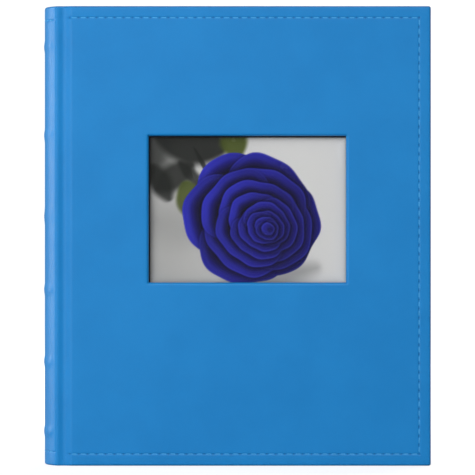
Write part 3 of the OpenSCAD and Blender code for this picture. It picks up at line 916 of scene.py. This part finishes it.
def joint_cloth(name, side):
    """A thin closed strip round a bent line: up the flap's edge, round a quarter circle of 0.8 mm, and
    out over the cover. Its outline is the line moved out and in along its normals. Its cut size, the
    line's length and the strip's height, is given back with it."""
    x0, y0 = hinge_lo[0] + 0.2 * MM, cover_hi[1] + 0.24 * MM
    bend = 0.8 * MM
    turn = np.radians(np.linspace(0, 90, 9))
    far = cover_lo[0] + cloth_grip
    line = np.concatenate([
        np.stack([np.full(6, x0), np.linspace(flap_hi[1] - 0.2 * MM, y0 + bend, 6)], 1),
        np.stack([x0 + bend * (1 - np.cos(turn[1:])), y0 + bend * (1 - np.sin(turn[1:]))], 1),
        np.stack([np.linspace(x0 + bend, far, 30)[1:], np.full(29, y0)], 1)])
    slope = np.gradient(line, axis=0)
    normal = np.stack([slope[:, 1], -slope[:, 0]], 1) / np.linalg.norm(slope, axis=1)[:, None]
    loop = np.concatenate([line + cloth_half * normal, (line - cloth_half * normal)[::-1]])
    loop = np.concatenate([loop, loop[:1]])
    z = np.linspace(flap_lo[2] + 0.5 * MM, flap_hi[2] - 0.5 * MM, 60)
    z = np.concatenate([[z[0]], z, [z[-1]]])
    points = np.zeros((len(loop), len(z), 3))
    points[..., 0], points[..., 1], points[..., 2] = loop[:, :1], loop[:, 1:] * side, z
    middle_line = np.concatenate([line, line[::-1], line[:1]])
    for end in (0, -1):
        points[:, end, 0], points[:, end, 1] = middle_line[:, 0], middle_line[:, 1] * side
    made = grid_mesh(name, points, flip=side < 0, material=book_cloth)
    return made, (float(np.linalg.norm(np.diff(line, axis=0), axis=1).sum()), float(z[-1] - z[0]))


book_cloth, cloth_shader, place = new_material("blue_book_cloth", Specular_IOR_Level=0.2)
cloth_x, cloth_y, cloth_z = place.axes()
warp = ((cloth_x + cloth_y) * (2 * math.pi / (0.55 * MM))).sine()
weft = (cloth_z * (2 * math.pi / (0.6 * MM))).sine()
weave = warp * weft * 0.5 + 0.5
drive(cloth_shader, Base_Color=(0.6 * weave + 0.4 * place.noise(70.0, 3.0)).mix(
          (0.004, 0.085, 0.260), (0.012, 0.150, 0.400)),
      Roughness=0.75 + 0.15 * weave, Normal=place.bump(weave, 0.12 * MM, 0.8))
for side, cover in both_covers:
    cloth, cloth_cut = joint_cloth(cover + "_joint_cloth", side)
    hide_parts(cover + "_inner_hinge")
    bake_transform(cloth)

# ---- Flaps and spacers ----
# Two drilled strips of white-grey millboard clamp the leaves, and card strips keep them apart.
millboard = paper_material("millboard", (0.52, 0.51, 0.48), (0.68, 0.67, 0.63), 70.0, 0.72, 0.08 * MM)
finish_nodes(millboard, "front_binding_flap", "back_binding_flap", "leaf_spacers")

# ---- Screw posts ----
# Three nickelled posts, each a barrel with a screw, hold the leaves between the flaps. Their heads
# are turned, so fine rings run round them, and hands have dulled them.
nickel, nickel_shader, place = new_material("turned_nickel", Metallic=1.0)
metal_x, _, metal_z = place.axes()
post_gap = 107.95 * MM
off_x = metal_x - 0.5 * (flap_lo[0] + flap_hi[0])
off_z = ((metal_z - album_height / 2) / post_gap + 0.5).fraction() * post_gap - 0.5 * post_gap
turned = ((off_x * off_x + off_z * off_z) ** 0.5 * (2 * math.pi / (0.35 * MM))).sine() * 0.5 + 0.5
dulled = place.noise(180.0, 4.0, 0.6).rise(0.35, 0.7)
drive(nickel_shader, Base_Color=dulled.mix((0.62, 0.60, 0.56), (0.78, 0.77, 0.74)),
      Roughness=0.34 - 0.12 * dulled + 0.06 * turned, Normal=place.bump(turned, 0.02 * MM, 0.4))
finish_nodes(nickel, "post_barrels", "post_screws")

# ---- Sleeves ----
# Each leaf is a top-loading sleeve of clear film: two films welded along the tail, the fore-edge and
# beside the crease, where a single web runs on to the drilled strip between the flaps.
film, film_shader, place = new_material("sleeve_film", Base_Color=(0.93, 0.95, 0.96, 1.0),
                                        Specular_IOR_Level=0.5)
film_x, _, film_z = place.axes()
haze = place.noise(22.0, 4.0, 0.6)
sleeve_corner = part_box("leaf_01_sleeve")[1]
mouth = film_z.rise(sleeve_corner[2] - 1.1 * MM, sleeve_corner[2] - 0.7 * MM)
weld = film_x.rise(sleeve_corner[0] - 2.6 * MM, sleeve_corner[0] - 1.8 * MM)
drive(film_shader, Alpha=0.24 + 0.66 * mouth + 0.5 * weld, Roughness=0.16 + 0.16 * haze,
      Normal=place.bump(haze, 0.5 * MM, 0.2))
strip_film, strip_shader, place = new_material(
    "strip_film", Base_Color=(0.80, 0.85, 0.89, 1.0), Alpha=0.75, Specular_IOR_Level=0.5)
drive(strip_shader, Roughness=0.25 + 0.15 * place.noise(60.0, 3.0),
      Normal=place.bump(place.stretch(1.0, 1.0, 0.1).noise(1500.0), 0.03 * MM, 0.4))
finish_nodes(strip_film, "leaf_binding_strips")
film_half = 0.14 * MM
weld_rise = 3.0 * MM
web_half = 0.28 * MM


def sleeve(number):
    """A flat bag with thin walls. Round it runs a loop: out along the front film and back along the
    rear one, whose half gap is thin at the crease, fuller over the pocket and thin at the weld. Up it
    run lines: the outside from the tail weld to the mouth, and the inside back down."""
    name = f"leaf_{number:02d}"
    lo, hi = box_of(name + "_sleeve")
    middle_y = 0.5 * (lo[1] + hi[1])
    full = 0.5 * (hi[1] - lo[1])
    x = np.concatenate([np.linspace(lo[0], lo[0] + 6 * MM, 4), lo[0] + np.array([6.6, 7.4, 8.4]) * MM,
                        np.linspace(lo[0] + 12 * MM, hi[0] - 8 * MM, 12),
                        hi[0] - np.array([4.2, 2.6, 1.6, 0.8, 0.0]) * MM])
    gap = np.interp(x, [lo[0] + 5.5 * MM, lo[0] + 8.4 * MM, hi[0] - 4.2 * MM, hi[0] - 1.5 * MM],
                    [0.3 * MM, full, full, 0.26 * MM])
    z = np.concatenate([lo[2] + np.array([0, 0.8, 1.6, 3.4]) * MM,
                        np.linspace(lo[2] + 10 * MM, hi[2], 12)])
    opened = np.interp(z, [lo[2] + 1.2 * MM, lo[2] + weld_rise], [0.0, 1.0])
    wave = np.sin(x[:, None] / (17 * MM) + number) ** 2 * np.sin(z[None, :] / (29 * MM)) ** 2
    wave = 1 - 0.05 * wave
    outside = film_half + (gap[:, None] - film_half) * opened[None, :] * wave
    inside = np.maximum(outside - 2 * film_half, 0.02 * MM)
    thin = np.where(np.arange(len(x)) == len(x) - 1, 0.0, 1.0)[:, None]
    thin[0] = 0.0
    up_z = np.concatenate([z, z[:0:-1]])
    up_gap = np.concatenate([outside, inside[:, :0:-1]], axis=1)
    front = np.stack(np.broadcast_arrays(x[:, None], middle_y - up_gap * thin, up_z[None, :]), -1)
    rear = np.stack(np.broadcast_arrays(x[:, None], middle_y + up_gap * thin, up_z[None, :]), -1)
    points = np.concatenate([front, rear[-2::-1]])
    points[:, 0, 1] = middle_y
    points[:, -1, 1] = middle_y
    made = grid_mesh(name + "_clear_sleeve", points, material=film)
    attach(made, name)
    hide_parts(name + "_sleeve")
    return lo, middle_y


def crease_web(number, start, middle_y):
    """The web across a leaf's crease: a thin closed strip from the drilled strip to the sleeve."""
    name = f"leaf_{number:02d}"
    x = np.linspace(crease_from, start[0] + 1.2 * MM, 9)
    half = web_half * np.sin(np.linspace(0, math.pi, 9)) ** 0.2
    half[0] = half[-1] = 0.0
    loop_x, loop_y = np.concatenate([x, x[-2::-1]]), np.concatenate([-half, half[-2::-1]])
    z = np.concatenate([[start[2]] * 2, [album_height - start[2]] * 2])
    points = np.stack(np.broadcast_arrays(loop_x[:, None], middle_y + loop_y[:, None], z[None, :]), -1)
    points = points.copy()
    points[:, (0, -1), 1] = middle_y
    made = grid_mesh(name + "_crease_web", points, material=strip_film)
    start[0] + 0.1 * MM
    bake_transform(made)


crease_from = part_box("leaf_binding_strips")[1][0] - 0.6 * MM
for number in range(1, 13):
    corner, middle_y = sleeve(number)
    crease_web(number, corner, middle_y)

# ---- Pages ----
# A letter-size sheet of thick ivory card stands in each sleeve, and slides up out of it.
page_card = paper_material("page_card", (0.80, 0.775, 0.69), (0.86, 0.84, 0.77), 30.0, 0.66,
                           0.05 * MM)
finish_nodes(page_card, *(f"leaf_{number:02d}_page" for number in range(1, 13)))
